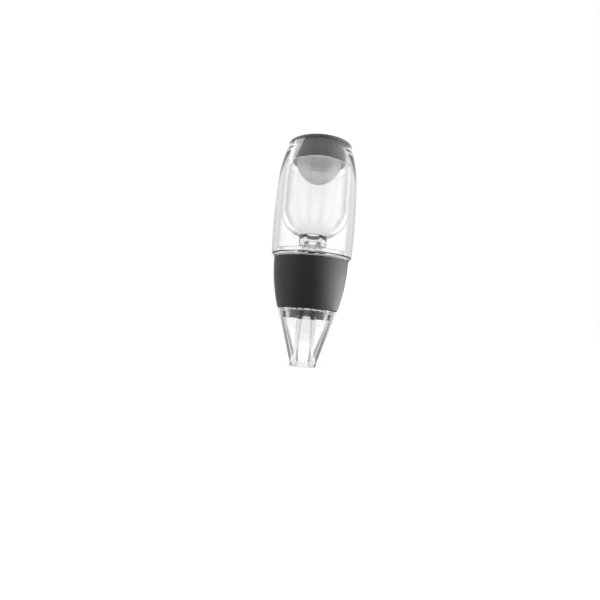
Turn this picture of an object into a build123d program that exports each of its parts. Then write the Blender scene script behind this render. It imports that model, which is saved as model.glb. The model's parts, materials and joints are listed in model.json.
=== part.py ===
"""Wine aerator in millimetres: +Z up along the axis, origin at the centre of the outlet's lower face.
Wine goes in at the strainer on top, through the funnel, nozzle and throat, and out at the tip."""

import os
from math import pi, sqrt

from build123d import *

# Lower cone, a clear shell that carries everything above it
cone_height = 38.0
tip_wall = 1.4
cone_top_radius = 19.9
cone_wall = 2.2

# Socket ring, glued into the cone's top
ring_height = 6.3
ring_bore_radius = 12.2

# Diffuser tube, glued into the cone's tip
outlet_radius = 5.6
outlet_land = 4.0
tube_wall = 1.4
tube_socket_depth = 3.0
tube_top_bore = 4.0
tube_top_wall = 2.2
tube_top_land = 8.0
glue_gap = 0.05

# Grip band, a soft sleeve that rests on the cone's rim
band_height = 33.1
band_inset = 0.7
band_bottom_radius = 20.2
band_wall = 1.5
band_edge_round = 0.4
band_hole_gap = 0.2

# Mixer body under the band
mixer_gap = 0.2
mixer_proud = 0.3
mixer_wall = 2.0
mixer_deck = 2.0
boss_wall = 2.4
nozzle_gap = 0.2

# Collar plate that closes the mixer below: its slotted collar drops into the socket ring
floor_thickness = 2.0
collar_gap = 0.3
collar_wall = 1.8
window_width = 10.8
window_top_land = 0.4

# Throat insert, pushed up into the mixer's boss
insert_step = 1.0
insert_height = 13.0
insert_inlet_radius = 4.2
throat_radius = 2.4
throat_land = 3.0
throat_inlet_cone = 5.0
socket_depth = 4.0
socket_gap = 0.3
air_groove_height = 3.0
air_groove_depth = 1.0
air_port_radius = 0.8

# Air tubes, one to each side
air_tube_radius = 2.2
air_bore_radius = 1.3

# Base plate with the nozzle tube
plate_inset = 1.2
plate_flange = 2.0
plate_register = 3.0
nozzle_radius = 6.8
nozzle_bore = 3.2
nozzle_rise = 6.3
nozzle_reach = 14.6
spigot_wall = 1.0
spigot_length = 3.0
end_gap = 0.4

# Barrel shell
shell_wall = 2.3
shell_radius = 26.8
shell_belly_bulge = 0.6
shell_shoulder_inset = 0.1
mouth_wall = 2.9
shell_height = 73.6
shell_belly_height = 20.6
shell_shoulder_drop = 26.0
mouth_land = 2.5
shell_foot_round = 0.8

# Inner funnel
cup_gap = 2.1
cup_wall = 1.6
cup_drop = 13.1
bowl_rise = 16.0
bowl_sagitta = 4.0
neck_wall = 3.35
neck_flare = 0.6
neck_length = 7.3
neck_bore = 4.6

# Rim ring of the strainer
lip_inset = 0.3
lip_thickness = 2.4
lip_round = 1.2
mouth_round = 1.0
skirt_radius = 18.5
rim_wall = 1.5
rim_skirt_depth = 9.8
ledge_thickness = 1.5
ledge_width = 1.4
mouth_gap = 0.3

# Strainer mesh and its retainer
mesh_gap = 0.2
mesh_depth = 15.8
mesh_sagitta = 3.8
mesh_thickness = 0.5
mesh_hole_radius = 0.9
mesh_hole_pitch = 3.2
retainer_height = 1.7
retainer_wall = 1.5
snap_step = 0.3
snap_gap = 0.2

# O-rings
seal_thickness = 1.5
tube_seal_thickness = 0.9
seal_squeeze = 0.05
groove_extra = 0.3
nozzle_seal_rise = 5.0
tube_seal_drop = 1.8

# One length past every cut
overrun = 3.0

# Heights of the joints between the bodies
band_top = cone_height + band_height
deck_top = band_top + mixer_proud
shell_foot = deck_top + plate_flange
shell_top = shell_foot + shell_height
rim_top = shell_top + lip_thickness
nozzle_foot = deck_top - nozzle_reach
insert_top = nozzle_foot - end_gap
insert_foot = insert_top - insert_height
socket_top = insert_foot + socket_depth
air_height = insert_top - throat_inlet_cone - throat_land / 2
section_plane = Plane.XZ

# Widths that the grip band takes from the barrel above it
plate_radius = shell_radius - plate_inset
band_top_radius = plate_radius - band_inset


def arc_radius(drop, top_radius, bottom_radius, height):
    """Radius at a drop below the top of an arc that starts straight down and moves in to bottom_radius."""
    inward = top_radius - bottom_radius
    bend = (inward**2 + height**2) / (inward + inward)
    return top_radius - bend + sqrt(bend**2 - drop**2)


# Lower cone
glue_radius = outlet_radius + tube_wall
cone_tip_radius = glue_radius + tip_wall
cone_slope = (cone_top_radius - cone_tip_radius) / cone_height
cone_top_bore = cone_top_radius - cone_wall
socket_height = (cone_wall - tip_wall) / cone_slope
with BuildPart() as lower_cone:
    with BuildSketch(section_plane):
        with BuildLine():
            Polyline(
                (glue_radius, 0),
                (cone_tip_radius, 0),
                (cone_top_radius, cone_height),
                (cone_top_bore, cone_height),
                (glue_radius, socket_height),
                close=True,
            )
        make_face()
    revolve(axis=Axis.Z)
lower_cone.part.label = "lower_cone"

# Socket ring, a thick clear ring inside the cone's top
ring_foot = cone_height - ring_height
ring_top_radius = cone_top_bore - glue_gap
with BuildPart() as socket_ring:
    with BuildSketch(section_plane):
        with BuildLine():
            Polyline(
                (ring_bore_radius, cone_height),
                (ring_top_radius, cone_height),
                (ring_top_radius - cone_slope * ring_height, ring_foot),
                (ring_bore_radius, ring_foot),
                close=True,
            )
        make_face()
    revolve(axis=Axis.Z)
socket_ring.part.label = "socket_ring"

# Diffuser tube, with a groove for its O-ring
tube_foot_radius = glue_radius - glue_gap
tube_top_radius = tube_top_bore + tube_top_wall
tube_height = socket_top - end_gap
tube_neck = tube_height - tube_top_land
tube_groove_radius = tube_top_radius - tube_seal_thickness + socket_gap - seal_squeeze
tube_groove_top = tube_height - tube_seal_drop + (tube_seal_thickness + groove_extra) / 2
tube_groove_foot = tube_groove_top - tube_seal_thickness - groove_extra
with BuildPart() as diffuser_tube:
    with BuildSketch(section_plane):
        with BuildLine():
            Polyline(
                (outlet_radius, 0),
                (tube_foot_radius, 0),
                (tube_foot_radius, tube_socket_depth),
                (tube_top_radius, tube_neck),
                (tube_top_radius, tube_groove_foot),
                (tube_groove_radius, tube_groove_foot),
                (tube_groove_radius, tube_groove_top),
                (tube_top_radius, tube_groove_top),
                (tube_top_radius, tube_height),
                (tube_top_bore, tube_height),
                (tube_top_bore, tube_neck),
                (outlet_radius, outlet_land),
                close=True,
            )
        make_face()
    revolve(axis=Axis.Z)
diffuser_tube.part.label = "diffuser_tube"

with BuildPart() as tube_seal:
    with Locations((0, 0, (tube_groove_top + tube_groove_foot) / 2)):
        Torus(tube_groove_radius + tube_seal_thickness / 2, tube_seal_thickness / 2)
tube_seal.part.label = "tube_seal"

# Mixer body: outer wall, deck and boss
band_top_bore = band_top_radius - band_wall
band_bottom_bore = band_bottom_radius - band_wall
mixer_top_radius = band_top_bore - mixer_gap
mixer_foot_radius = band_bottom_bore - mixer_gap
mixer_foot_bore = mixer_foot_radius - mixer_wall
deck_foot = deck_top - mixer_deck
boss_bore = nozzle_radius + nozzle_gap
insert_radius = boss_bore + insert_step
insert_bore = insert_radius + glue_gap
boss_radius = insert_radius + boss_wall
with BuildPart() as mixer_body:
    with BuildSketch(section_plane):
        with BuildLine():
            TangentArc((mixer_top_radius, band_top), (mixer_foot_radius, cone_height), tangent=(0, -1))
            Line((mixer_foot_radius, cone_height), (mixer_foot_bore, cone_height))
            TangentArc(
                (mixer_top_radius - mixer_wall, deck_foot),
                (mixer_foot_bore, cone_height),
                tangent=(0, -1),
            )
            Polyline(
                (mixer_top_radius - mixer_wall, deck_foot),
                (boss_radius, deck_foot),
                (boss_radius, insert_foot),
                (insert_bore, insert_foot),
                (insert_bore, insert_top),
                (boss_bore, insert_top),
                (boss_bore, deck_top),
                (mixer_top_radius, deck_top),
                (mixer_top_radius, band_top),
            )
        make_face()
    revolve(axis=Axis.Z)
    with Locations(Plane(origin=(0, 0, air_height), z_dir=(1, 0, 0))):
        Cylinder(air_tube_radius + glue_gap, mixer_top_radius + mixer_top_radius, mode=Mode.SUBTRACT)
mixer_body.part.label = "mixer_body"

# Collar plate, with a window through the collar at the front and one at the back
collar_radius = ring_bore_radius - collar_gap
floor_radius = mixer_foot_bore - glue_gap
with BuildPart() as collar_plate:
    with BuildSketch(section_plane):
        with BuildLine():
            Polyline(
                (collar_radius - collar_wall, ring_foot),
                (collar_radius, ring_foot),
                (collar_radius, cone_height),
                (floor_radius, cone_height),
                (floor_radius, cone_height + floor_thickness),
                (collar_radius - collar_wall, cone_height + floor_thickness),
                close=True,
            )
        make_face()
    revolve(axis=Axis.Z)
    with BuildSketch(Plane.XY.offset(ring_foot)):
        Rectangle(window_width, collar_radius + collar_radius + overrun)
    extrude(amount=ring_height - window_top_land, mode=Mode.SUBTRACT)
collar_plate.part.label = "collar_plate"

# Throat insert: it narrows to the throat, where the side ports open, and widens into the tube's socket
throat_top = insert_top - throat_inlet_cone
throat_foot = throat_top - throat_land
socket_radius = tube_top_radius + socket_gap
groove_half = air_groove_height / 2
with BuildPart() as throat_insert:
    with BuildSketch(section_plane):
        with BuildLine():
            Polyline(
                (insert_inlet_radius, insert_top),
                (throat_radius, throat_top),
                (throat_radius, throat_foot),
                (tube_top_bore, socket_top),
                (socket_radius, socket_top),
                (socket_radius, insert_foot),
                (insert_radius, insert_foot),
                (insert_radius, air_height - groove_half),
                (insert_radius - air_groove_depth, air_height - groove_half),
                (insert_radius - air_groove_depth, air_height + groove_half),
                (insert_radius, air_height + groove_half),
                (insert_radius, insert_top),
                close=True,
            )
        make_face()
    revolve(axis=Axis.Z)
    with Locations(Plane(origin=(0, 0, air_height), z_dir=(1, 0, 0))):
        Cylinder(air_port_radius, insert_radius + insert_radius + overrun, mode=Mode.SUBTRACT)
throat_insert.part.label = "throat_insert"

# Air tubes from the mixer's outer wall to the boss, one on each side
air_drop = band_top - air_height + air_tube_radius
air_end = arc_radius(air_drop, mixer_top_radius, mixer_foot_radius, band_height)
air_start = insert_bore + glue_gap
air_tubes = {}
for air_name, air_side in (("air_tube_left", -1), ("air_tube_right", 1)):
    air_plane = Plane(origin=(air_side * air_start, 0, air_height), z_dir=(air_side, 0, 0))
    with BuildPart() as air_tube:
        with BuildSketch(air_plane):
            Circle(air_tube_radius)
            Circle(air_bore_radius, mode=Mode.SUBTRACT)
        extrude(amount=air_end - air_start)
    air_tube.part.label = air_name
    air_tubes[air_name] = air_tube

# Grip band, with a hole over each air tube
band_hole_radius = air_tube_radius + band_hole_gap
with BuildPart() as grip_band:
    with BuildSketch(section_plane):
        with BuildLine():
            TangentArc((band_top_radius, band_top), (band_bottom_radius, cone_height), tangent=(0, -1))
            Line((band_bottom_radius, cone_height), (band_bottom_bore, cone_height))
            TangentArc((band_top_bore, band_top), (band_bottom_bore, cone_height), tangent=(0, -1))
            Line((band_top_bore, band_top), (band_top_radius, band_top))
        make_face()
    revolve(axis=Axis.Z)
    with Locations(Plane(origin=(0, 0, air_height), z_dir=(1, 0, 0))):
        Cylinder(band_hole_radius, band_top_radius + band_top_radius + overrun, mode=Mode.SUBTRACT)
    rim_edges = grip_band.edges().filter_by(GeomType.CIRCLE)
    top_edge = rim_edges.group_by(Axis.Z)[-1].sort_by(SortBy.RADIUS)[-1]
    foot_edge = rim_edges.group_by(Axis.Z)[0].sort_by(SortBy.RADIUS)[-1]
    fillet([top_edge, foot_edge], band_edge_round)
grip_band.part.label = "grip_band"

# Base plate: flange under the shell, register inside it, and the nozzle tube with a groove for its O-ring
spigot_radius = neck_bore + spigot_wall
register_radius = shell_radius - shell_wall - glue_gap
register_top = shell_foot + plate_register
neck_foot = shell_foot + nozzle_rise
groove_foot = nozzle_foot + nozzle_seal_rise
groove_top = groove_foot + seal_thickness + groove_extra
groove_radius = boss_bore - seal_squeeze - seal_thickness
with BuildPart() as base_plate:
    with BuildSketch(section_plane):
        with BuildLine():
            Polyline(
                (nozzle_bore, nozzle_foot),
                (nozzle_radius, nozzle_foot),
                (nozzle_radius, groove_foot),
                (groove_radius, groove_foot),
                (groove_radius, groove_top),
                (nozzle_radius, groove_top),
                (nozzle_radius, deck_top),
                (plate_radius, deck_top),
                (plate_radius, shell_foot),
                (register_radius, shell_foot),
                (register_radius, register_top),
                (register_radius - shell_wall, register_top),
                (register_radius - shell_wall, shell_foot),
                (nozzle_radius, shell_foot),
                (nozzle_radius, neck_foot),
                (spigot_radius, neck_foot),
                (spigot_radius, neck_foot + spigot_length),
                (neck_bore, neck_foot + spigot_length),
                (nozzle_bore, neck_foot),
                close=True,
            )
        make_face()
    revolve(axis=Axis.Z)
base_plate.part.label = "base_plate"

with BuildPart() as nozzle_seal:
    with Locations((0, 0, (groove_foot + groove_top) / 2)):
        Torus(groove_radius + seal_thickness / 2, seal_thickness / 2)
nozzle_seal.part.label = "nozzle_seal"

# Barrel shell
belly = shell_foot + shell_belly_height
shoulder = shell_top - shell_shoulder_drop
mouth_radius = skirt_radius + mouth_gap
shell_top_radius = mouth_radius + mouth_wall
shell_belly_radius = shell_radius + shell_belly_bulge
shell_shoulder_radius = shell_radius - shell_shoulder_inset
with BuildPart() as barrel_shell:
    with BuildSketch(section_plane):
        with BuildLine():
            for wall, top, top_radius in (
                (0, shell_top, shell_top_radius),
                (shell_wall, shell_top - mouth_land, mouth_radius),
            ):
                belly_point = (shell_belly_radius - wall, belly)
                shoulder_point = (shell_shoulder_radius - wall, shoulder)
                TangentArc(belly_point, (shell_radius - wall, shell_foot), tangent=(0, -1))
                upper = TangentArc(belly_point, shoulder_point, tangent=(0, 1))
                TangentArc(shoulder_point, (top_radius, top), tangent=upper % 1)
            Line((shell_radius, shell_foot), (shell_radius - shell_wall, shell_foot))
            Line((mouth_radius, shell_top - mouth_land), (mouth_radius, shell_top))
            Line((mouth_radius, shell_top), (shell_top_radius, shell_top))
        make_face()
    revolve(axis=Axis.Z)
    foot_edges = barrel_shell.edges().filter_by(GeomType.CIRCLE).group_by(Axis.Z)[0]
    fillet(foot_edges.sort_by(SortBy.RADIUS)[-1], shell_foot_round)
barrel_shell.part.label = "barrel_shell"

# Inner funnel: cup, bowl and neck
neck_top = neck_foot + neck_length
bowl_top = neck_top + bowl_rise
cup_top = shell_top - cup_drop
cup_radius = shell_shoulder_radius - shell_wall - cup_gap
cup_bore = cup_radius - cup_wall
neck_bottom_radius = spigot_radius + glue_gap + neck_wall
neck_top_radius = neck_bottom_radius + neck_flare
with BuildPart() as inner_funnel:
    with BuildSketch(section_plane):
        with BuildLine():
            Polyline(
                (neck_top_radius, neck_top),
                (neck_bottom_radius, neck_foot),
                (spigot_radius + glue_gap, neck_foot),
                (spigot_radius + glue_gap, neck_foot + spigot_length),
                (neck_bore, neck_foot + spigot_length),
                (neck_bore, neck_top + cup_wall),
            )
            SagittaArc((neck_bore, neck_top + cup_wall), (cup_bore, bowl_top), -bowl_sagitta)
            Polyline(
                (cup_bore, bowl_top),
                (cup_bore, cup_top),
                (cup_radius, cup_top),
                (cup_radius, bowl_top),
            )
            SagittaArc((neck_top_radius, neck_top), (cup_radius, bowl_top), -bowl_sagitta)
        make_face()
    revolve(axis=Axis.Z)
inner_funnel.part.label = "inner_funnel"

# Rim ring: lip, skirt, the ledge that holds the mesh and the pocket its retainer snaps into
mouth_bore = skirt_radius - rim_wall
lip_radius = shell_top_radius - lip_inset
ledge_hole_radius = mouth_bore - ledge_width
ledge_foot = shell_top - rim_skirt_depth
ledge_top = ledge_foot + ledge_thickness
hem_top = ledge_top + mesh_thickness
pocket_radius = mouth_bore + snap_step
pocket_top = hem_top + retainer_height + snap_gap
with BuildPart() as rim_ring:
    with BuildSketch(section_plane):
        with BuildLine():
            Polyline(
                (mouth_bore, rim_top),
                (lip_radius, rim_top),
                (lip_radius, shell_top),
                (skirt_radius, shell_top),
                (skirt_radius, ledge_foot),
                (ledge_hole_radius, ledge_foot),
                (ledge_hole_radius, ledge_top),
                (pocket_radius, ledge_top),
                (pocket_radius, pocket_top),
                (mouth_bore, pocket_top),
                close=True,
            )
        make_face()
    revolve(axis=Axis.Z)
    top_edges = rim_ring.edges().filter_by(GeomType.CIRCLE).group_by(Axis.Z)[-1].sort_by(SortBy.RADIUS)
    fillet(top_edges[-1], lip_round)
    fillet(top_edges[0], mouth_round)
rim_ring.part.label = "rim_ring"

# Strainer mesh: a round bowl with a flat hem, its weave as rings of round holes
mesh_radius = ledge_hole_radius - mesh_gap
hem_radius = mouth_bore - mesh_gap
mesh_foot = ledge_foot - mesh_depth
inner_mesh_radius = mesh_radius - mesh_thickness
with BuildPart() as strainer_mesh:
    with BuildSketch(section_plane):
        with BuildLine():
            outline = SagittaArc((0, mesh_foot), (mesh_radius, ledge_foot), -mesh_sagitta)
            Polyline(
                (mesh_radius, ledge_foot),
                (mesh_radius, ledge_top),
                (hem_radius, ledge_top),
                (hem_radius, hem_top),
                (inner_mesh_radius, hem_top),
                (inner_mesh_radius, ledge_foot),
            )
            SagittaArc((0, mesh_foot + mesh_thickness), (inner_mesh_radius, ledge_foot), -mesh_sagitta)
            Line((0, mesh_foot), (0, mesh_foot + mesh_thickness))
        make_face()
    revolve(axis=Axis.Z)
    holes = []
    hole_rows = int(outline.length / mesh_hole_pitch)
    for row in range(1, hole_rows):
        place = outline @ (row / hole_rows)
        slope = outline % (row / hole_rows)
        hole_count = int(2 * pi * place.X / mesh_hole_pitch)
        for turn in range(hole_count):
            angle = 360 * turn / hole_count
            origin = Vector(place.X, 0, place.Y).rotate(Axis.Z, angle)
            outward = Vector(slope.Y, 0, -slope.X).rotate(Axis.Z, angle)
            holes.append(Plane(origin=origin, z_dir=outward))
    with Locations(*holes):
        Cylinder(mesh_hole_radius, overrun, mode=Mode.SUBTRACT)
strainer_mesh.part.label = "strainer_mesh"

# Mesh retainer, a snap ring over the hem
with BuildPart() as mesh_retainer:
    with BuildSketch(Plane.XY.offset(hem_top)):
        Circle(pocket_radius - glue_gap)
        Circle(pocket_radius - glue_gap - retainer_wall, mode=Mode.SUBTRACT)
    extrude(amount=retainer_height)
mesh_retainer.part.label = "mesh_retainer"

pieces = [
    lower_cone,
    socket_ring,
    diffuser_tube,
    tube_seal,
    mixer_body,
    collar_plate,
    throat_insert,
    air_tubes["air_tube_left"],
    air_tubes["air_tube_right"],
    grip_band,
    base_plate,
    nozzle_seal,
    barrel_shell,
    inner_funnel,
    rim_ring,
    strainer_mesh,
    mesh_retainer,
]
os.makedirs("parts", exist_ok=True)
for piece in pieces:
    export_step(piece.part, f"parts/{piece.part.label}.step")
print("height", round(rim_top, 2), "widest", round(shell_belly_radius + shell_belly_radius, 2))
print("mouth bore radius", mouth_bore, "from", round(pocket_top, 2), "to", round(rim_top - mouth_round, 2))
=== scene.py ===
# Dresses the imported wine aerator. Every turned piece is swept from its own section, the strainer is
# woven wire by wire, and the scene is a plain pale floor with soft light and one camera.
import json
import math

import bmesh
import bpy
from mathutils import Matrix, Vector


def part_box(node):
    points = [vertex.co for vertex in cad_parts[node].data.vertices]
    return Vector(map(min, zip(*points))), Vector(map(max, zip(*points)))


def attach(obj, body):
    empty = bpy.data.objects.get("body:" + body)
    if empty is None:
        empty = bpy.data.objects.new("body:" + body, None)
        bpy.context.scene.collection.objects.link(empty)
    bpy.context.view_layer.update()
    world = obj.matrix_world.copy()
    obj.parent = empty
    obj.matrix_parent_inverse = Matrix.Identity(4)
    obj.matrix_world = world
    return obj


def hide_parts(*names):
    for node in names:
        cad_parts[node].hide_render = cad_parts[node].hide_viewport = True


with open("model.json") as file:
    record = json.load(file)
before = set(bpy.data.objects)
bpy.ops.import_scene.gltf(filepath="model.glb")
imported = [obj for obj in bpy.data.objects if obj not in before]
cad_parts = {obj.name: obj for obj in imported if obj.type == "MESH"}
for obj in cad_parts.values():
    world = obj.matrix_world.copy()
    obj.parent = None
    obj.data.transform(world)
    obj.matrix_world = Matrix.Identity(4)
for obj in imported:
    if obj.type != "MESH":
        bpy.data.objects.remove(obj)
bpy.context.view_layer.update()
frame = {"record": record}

mm = 0.001

# The camera looks slightly up at the object, which leans a little in the frame
camera = {
    "place": (0.0, -0.29572, 0.03075),
    "yaw": 1.022,
    "pitch": 2.508,
    "roll": 4.760,
    "lens": 26.413,
    "sensor": 36.0,
    "nearest": 0.01,
}

lensData = bpy.data.cameras.new("camera")
lensData.lens = camera["lens"]
lensData.sensor_width = camera["sensor"]
lensData.clip_start = camera["nearest"]
cameraObject = bpy.data.objects.new("camera", lensData)
bpy.context.scene.collection.objects.link(cameraObject)
cameraObject.matrix_world = (
    Matrix.Translation(camera["place"])
    @ Matrix.Rotation(math.radians(camera["yaw"]), 4, "Z")
    @ Matrix.Rotation(math.radians(90 + camera["pitch"]), 4, "X")
    @ Matrix.Rotation(math.radians(camera["roll"]), 4, "Z")
)
bpy.context.scene.camera = cameraObject
print("camera set")


class Flow:
    # one output socket, so that maths on it reads as a plain expression
    def __init__(self, graph, socket):
        self.graph = graph
        self.socket = socket

    def maths(self, operation, first, second=0.0):
        return self.graph.add("ShaderNodeMath", {"operation": operation}, {0: first, 1: second})

    def __add__(self, other):
        return self.maths("ADD", self, other)

    __radd__ = __add__

    def __sub__(self, other):
        return self.maths("SUBTRACT", self, other)

    def __rsub__(self, other):
        return self.maths("SUBTRACT", other, self)

    def __mul__(self, other):
        return self.maths("MULTIPLY", self, other)

    __rmul__ = __mul__

    def __truediv__(self, other):
        return self.maths("DIVIDE", self, other)

    def __pow__(self, other):
        return self.maths("POWER", self, other)

    def __neg__(self):
        return self.maths("MULTIPLY", self, -1.0)

    def least(self, other):
        return self.maths("MINIMUM", self, other)

    def most(self, other):
        return self.maths("MAXIMUM", self, other)

    def ease(self, low, high):
        return self.graph.add(
            "ShaderNodeMapRange",
            {"interpolation_type": "SMOOTHSTEP"},
            {"Value": self, "From Min": low, "From Max": high},
        )


class Graph:
    # a shader or geometry tree, built with one method
    def __init__(self, tree):
        self.tree = tree

    def add(self, kind, settings=None, sockets=None, output=0):
        node = self.tree.nodes.new(kind)
        for name, value in (settings or {}).items():
            setattr(node, name, value)
        for key, value in (sockets or {}).items():
            socket = self.find(node.inputs, key)
            for item in value if isinstance(value, list) else [value]:
                if isinstance(item, Flow):
                    self.tree.links.new(item.socket, socket)
                else:
                    socket.default_value = item
        return Flow(self, self.find(node.outputs, output)) if len(node.outputs) else node

    def find(self, sockets, key):
        if isinstance(key, int):
            return sockets[key]
        for socket in sockets:
            if socket.identifier == key:
                return socket
        return next(socket for socket in sockets if socket.name == key and socket.enabled)

    def blend(self, mask, first, second):
        return self.add(
            "ShaderNodeMix",
            {"data_type": "RGBA"},
            {"Factor_Float": mask, "A_Color": self.colour(first), "B_Color": self.colour(second)},
            "Result_Color",
        )

    def colour(self, value):
        return value if isinstance(value, Flow) else (*value, 1.0)


def startFinish(name):
    material = bpy.data.materials.new(name)
    material.use_nodes = True
    material.node_tree.nodes.clear()
    return material, Graph(material.node_tree)


def endFinish(graph, shader):
    graph.add("ShaderNodeOutputMaterial", None, {"Surface": shader})


def coat(graph, sockets):
    endFinish(graph, graph.add("ShaderNodeBsdfPrincipled", None, sockets))


def relief(graph, height, strength, depth):
    return graph.add("ShaderNodeBump", None, {"Strength": strength, "Distance": depth, "Height": height})


def speckle(graph, scale, detail, roughness, stretch=(1, 1, 1), shift=(0, 0, 0)):
    place = graph.add("ShaderNodeTexCoord", None, None, "Object")
    moved = graph.add("ShaderNodeMapping", None, {"Vector": place, "Scale": stretch, "Location": shift})
    return graph.add(
        "ShaderNodeTexNoise",
        None,
        {"Vector": moved, "Scale": scale, "Detail": detail, "Roughness": roughness},
    )


acrylic = {
    "index": 1.49,
    "waveDepth": 0.002,
    "smudgeScale": 90,
    "smudgeEdge": (0.52, 0.78),
    "smudgeTone": 0.986,
    "scratchScale": 900,
    "scratchEdge": (0.66, 0.74),
    "scratchHeight": 0.002,
    "scratchRoughness": 0.03,
}
clearPlastics = {
    "clearBarrel": {"tint": (0.996, 0.999, 0.998), "wave": 0.010, "waveScale": 70, "shift": 0.0},
    "clearFunnel": {"tint": (0.995, 0.998, 0.997), "wave": 0.014, "waveScale": 110, "shift": 0.3},
    "clearBase": {"tint": (0.990, 0.994, 0.993), "wave": 0.020, "waveScale": 140, "shift": 0.6},
    "clearCone": {"tint": (0.990, 0.994, 0.993), "wave": 0.018, "waveScale": 120, "shift": 0.9},
    "clearRing": {"tint": (0.985, 0.988, 0.986), "wave": 0.026, "waveScale": 200, "shift": 1.5},
    "clearTube": {"tint": (0.990, 0.993, 0.992), "wave": 0.022, "waveScale": 160, "shift": 1.2},
}


def clearPlastic(name):
    # polished acrylic: slow moulding waves, finger smudges and a few fine scratches
    look = {**acrylic, **clearPlastics[name]}
    material, graph = startFinish(name)
    shift = (look["shift"], look["shift"], 0)
    waves = speckle(graph, look["waveScale"], 1.0, 0.4, (1, 1, 0.45), shift)
    smudges = speckle(graph, look["smudgeScale"], 3.0, 0.6, (1, 1, 1), shift).ease(*look["smudgeEdge"])
    scratches = speckle(graph, look["scratchScale"], 2.0, 0.7, (1, 1, 0.04), shift)
    scratches = scratches.ease(*look["scratchEdge"])
    height = waves + look["scratchHeight"] * scratches
    smudged = tuple(look["smudgeTone"] * part for part in look["tint"])
    coat(
        graph,
        {
            "Base Color": graph.blend(smudges * 0.5, look["tint"], smudged),
            "Roughness": look["scratchRoughness"] * scratches,
            "Normal": relief(graph, height, look["wave"], look["waveDepth"]),
            "IOR": look["index"],
            "Transmission Weight": 1.0,
        },
    )
    return material


moulding = {
    "index": 1.49,
    "grainHeight": 0.0001,
    "cloudScale": 130,
    "rubScale": 320,
    "rubEdge": (0.56, 0.74),
    "rubGloss": 0.07,
}
darkPlastics = {
    "rimPlastic": {
        "dark": (0.038, 0.038, 0.037), "light": (0.060, 0.059, 0.057), "grain": 2600, "grainDepth": 0.10,
        "satin": 0.30, "mottle": 0.14, "shift": 0.0,
    },
    "mixerPlastic": {
        "dark": (0.010, 0.010, 0.011), "light": (0.019, 0.018, 0.019), "grain": 2200, "grainDepth": 0.12,
        "satin": 0.32, "mottle": 0.16, "shift": 0.4,
    },
    "insertPlastic": {
        "dark": (0.26, 0.26, 0.27), "light": (0.34, 0.34, 0.35), "grain": 2400, "grainDepth": 0.10,
        "satin": 0.38, "mottle": 0.14, "shift": 0.8,
    },
}


def mouldedPlastic(name):
    # satin moulded plastic: fine spark grain, cloudy gloss and rubbed patches
    look = {**moulding, **darkPlastics[name]}
    material, graph = startFinish(name)
    shift = (look["shift"], 0, look["shift"])
    grain = speckle(graph, look["grain"], 2.0, 0.6, (1, 1, 1), shift)
    clouds = speckle(graph, look["cloudScale"], 3.0, 0.55, (1, 1, 1), shift)
    rubbed = speckle(graph, look["rubScale"], 4.0, 0.65, (1, 1, 0.5), shift).ease(*look["rubEdge"])
    coat(
        graph,
        {
            "Base Color": graph.blend(clouds * 0.7 + 0.3 * grain, look["dark"], look["light"]),
            "Roughness": look["satin"] + look["mottle"] * clouds - look["rubGloss"] * rubbed,
            "Normal": relief(graph, grain, look["grainDepth"], look["grainHeight"]),
            "IOR": look["index"],
        },
    )
    return material


silicone = {
    "index": 1.50,
    "dark": (0.0075, 0.0072, 0.0075),
    "light": (0.0130, 0.0125, 0.0125),
    "grain": 3400,
    "grainDepth": 0.16,
    "grainHeight": 0.0001,
    "matte": 0.38,
    "cloudScale": 95,
    "wipeScale": 260,
    "dust": (0.08, 0.076, 0.072),
    "dustScale": 5200,
    "dustEdge": (0.735, 0.80),
    "dustShare": 0.35,
    "sheen": 0.05,
    "sheenSpread": 0.40,
}


def bandSilicone():
    # soft-touch silicone: powdery grain, faint vertical wiping marks and a little dust
    look = silicone
    material, graph = startFinish("bandSilicone")
    grain = speckle(graph, look["grain"], 2.0, 0.7)
    clouds = speckle(graph, look["cloudScale"], 3.0, 0.6)
    wiped = speckle(graph, look["wipeScale"], 3.0, 0.6, (1, 1, 0.18))
    dust = speckle(graph, look["dustScale"], 1.0, 0.5).ease(*look["dustEdge"])
    tone = graph.blend(0.6 * clouds + 0.4 * wiped, look["dark"], look["light"])
    coat(
        graph,
        {
            "Base Color": graph.blend(dust * look["dustShare"], tone, look["dust"]),
            "Roughness": look["matte"] + 0.12 * clouds + 0.06 * wiped,
            "Normal": relief(graph, grain + 0.4 * wiped, look["grainDepth"], look["grainHeight"]),
            "IOR": look["index"],
            "Sheen Weight": look["sheen"],
            "Sheen Roughness": look["sheenSpread"],
        },
    )
    return material


rubber = {
    "index": 1.5,
    "dark": (0.012, 0.012, 0.012),
    "light": (0.026, 0.025, 0.025),
    "grain": 3000,
    "grainDepth": 0.12,
    "grainHeight": 0.0001,
    "matte": 0.34,
}


def sealRubber():
    # smooth black rubber with a little bloom
    look = rubber
    material, graph = startFinish("sealRubber")
    grain = speckle(graph, look["grain"], 2.0, 0.6)
    coat(
        graph,
        {
            "Base Color": graph.blend(grain, look["dark"], look["light"]),
            "Roughness": look["matte"] + 0.2 * grain,
            "Normal": relief(graph, grain, look["grainDepth"], look["grainHeight"]),
            "IOR": look["index"],
        },
    )
    return material


steel = {
    "dark": (0.66, 0.65, 0.64),
    "light": (0.87, 0.86, 0.85),
    "satin": 0.24,
    "streakScale": 2400,
    "streakDepth": 0.1,
    "streakHeight": 0.00005,
    "tarnishScale": 160,
    "tarnishEdge": (0.45, 0.7),
}


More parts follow.
